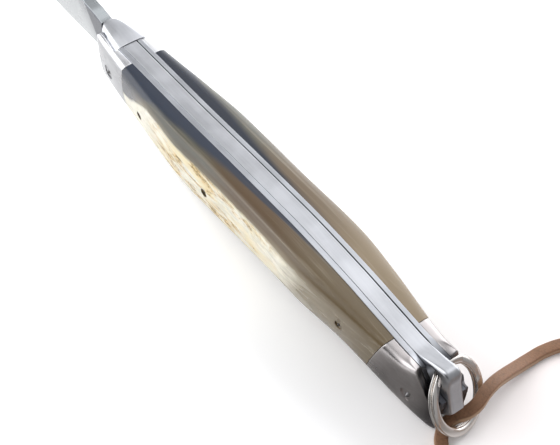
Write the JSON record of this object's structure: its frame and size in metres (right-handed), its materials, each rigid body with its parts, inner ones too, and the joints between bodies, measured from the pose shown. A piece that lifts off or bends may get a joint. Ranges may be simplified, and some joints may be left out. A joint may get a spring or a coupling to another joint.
{
  "type": "pocket_knife",
  "caption": "Folding pocket knife, shown open: a pointed blade turns under a back spring, between horn scales and steel bolsters; a lace hangs from a ring at the butt.",
  "frame": {"origin": "under the middle of the knife's box, measured without the lace, on the surface that it stands on", "axes": "+X to the blade's tip, +Y to the knife's left, +Z from the belly to the back"},
  "size_m": [0.3013, 0.0501, 0.0199],
  "materials": {
    "blade_steel": "fine satin grind with a narrow polished edge",
    "spring_steel": "satin, brushed along its length",
    "bolster_steel": "soft hand polish with fine scratches",
    "horn": "polished horn, dark grey to brown beside the spring, with a rough cream bark on the sides",
    "pin_steel": "peened and polished flush",
    "nickel": "bright nickel wire",
    "leather": "smooth brown strap leather with raw cut edges"
  },
  "bodies": {
    "handle": {"back_spring": "spring_steel", "left_liner": "spring_steel", "right_liner": "spring_steel", "left_front_bolster": "bolster_steel", "right_front_bolster": "bolster_steel", "left_rear_bolster": "bolster_steel", "right_rear_bolster": "bolster_steel", "left_scale": "horn", "right_scale": "horn", "pivot_pin": "pin_steel", "rear_pin": "pin_steel", "spring_pin": "pin_steel", "left_scale_pin_front": "pin_steel", "right_scale_pin_front": "pin_steel", "left_scale_pin_middle": "pin_steel", "right_scale_pin_middle": "pin_steel", "left_scale_pin_rear": "pin_steel", "right_scale_pin_rear": "pin_steel"},
    "blade": {"blade": "blade_steel"},
    "ring": {"lanyard_ring": "nickel", "thong": "leather", "thong_knot": "leather"}
  },
  "joints": [
    {"name": "blade_pivot", "type": "hinge", "parent": "handle", "child": "blade", "pos_m": [0.00922, 0.00051, 0.0103], "axis": [0, 1, 0], "range_deg": [0, 178]},
    {"name": "ring_swing", "type": "hinge", "parent": "handle", "child": "ring", "pos_m": [-0.10108, 0.00051, 0.01295], "axis": [0, 1, 0], "range_deg": [0, 150]}
  ]
}
